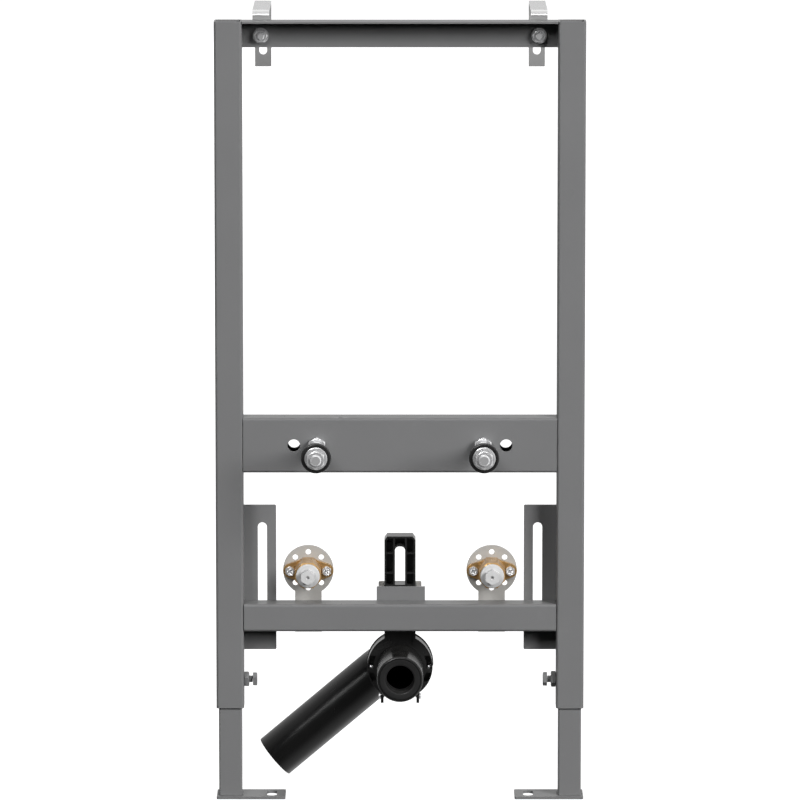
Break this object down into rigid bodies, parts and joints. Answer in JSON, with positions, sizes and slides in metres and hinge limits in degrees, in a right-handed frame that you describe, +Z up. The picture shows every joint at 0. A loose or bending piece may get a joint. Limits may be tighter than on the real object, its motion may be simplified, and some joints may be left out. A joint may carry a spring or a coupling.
{
  "type": "bidet installation frame",
  "caption": "Steel frame, bolted to floor and wall, that carries a wall-hung bidet, with telescopic feet, wall hooks, water connections and a drain bend.",
  "frame": {"origin": "on the centre line, where the finished floor meets the finished wall, in the plane of the hooks' wall faces and of the foot plates' undersides", "axes": "+X to the right as seen from the room, +Y into the wall, +Z up"},
  "size_m": [0.4, 0.257, 0.8605],
  "materials": {
    "frame_paint": "satin grey powder coat",
    "bright_zinc": "bright zinc plate",
    "galvanised": "dull warm zinc",
    "fastener_zinc": "zinc-plated steel",
    "brass": "cast and machined brass",
    "black_plastic": "moulded black plastic",
    "pipe_plastic": "smooth black drain pipe",
    "white_plastic": "moulded white plastic",
    "rubber": "soft black rubber"
  },
  "bodies": {
    "frame": {"left_upright": "frame_paint", "right_upright": "frame_paint", "top_rail": "frame_paint", "middle_rail": "frame_paint", "left_slotted_plate": "frame_paint", "right_slotted_plate": "frame_paint", "left_wall_hook": "bright_zinc", "right_wall_hook": "bright_zinc", "hook_bolts": "fastener_zinc", "hook_washers": "fastener_zinc", "hook_nuts": "fastener_zinc", "left_stud": "fastener_zinc", "right_stud": "fastener_zinc", "stud_lock_nuts": "fastener_zinc", "stud_washers": "fastener_zinc", "stud_end_nuts": "fastener_zinc", "leg_lock_nuts": "fastener_zinc", "leg_lock_bolts": "fastener_zinc", "stud_bushes": "black_plastic"},
    "left_foot": {"left_leg": "frame_paint", "left_foot_plate": "frame_paint"},
    "right_foot": {"right_leg": "frame_paint", "right_foot_plate": "frame_paint"},
    "connection_rail": {"lower_rail": "frame_paint", "drain_bracket": "frame_paint", "left_water_plate": "galvanised", "right_water_plate": "galvanised", "drain_clamp_plate": "galvanised", "left_brass_connector": "brass", "right_brass_connector": "brass", "left_test_plug": "white_plastic", "right_test_plug": "white_plastic", "connector_screws": "fastener_zinc", "rail_bolts": "fastener_zinc", "rail_washers": "fastener_zinc", "holder_bolt": "fastener_zinc", "clamp_screws": "fastener_zinc", "drain_holder": "black_plastic", "drain_strap": "black_plastic"},
    "drain": {"drain_bend": "pipe_plastic", "outlet_pipe": "pipe_plastic", "drain_seal": "rubber"}
  },
  "joints": [
    {"name": "left_leg_slide", "type": "slide", "parent": "frame", "child": "left_foot", "axis": [0, 0, -1], "range_m": [0, 0.2]},
    {"name": "right_leg_slide", "type": "slide", "parent": "frame", "child": "right_foot", "axis": [0, 0, -1], "range_m": [0, 0.2]},
    {"name": "rail_slide", "type": "slide", "parent": "frame", "child": "connection_rail", "axis": [0, 0, 1], "range_m": [0, 0.075]},
    {"name": "drain_swivel", "type": "hinge", "parent": "connection_rail", "child": "drain", "pos_m": [0, 0, 0.14], "axis": [0, 1, 0], "range_deg": [0, 260]}
  ]
}
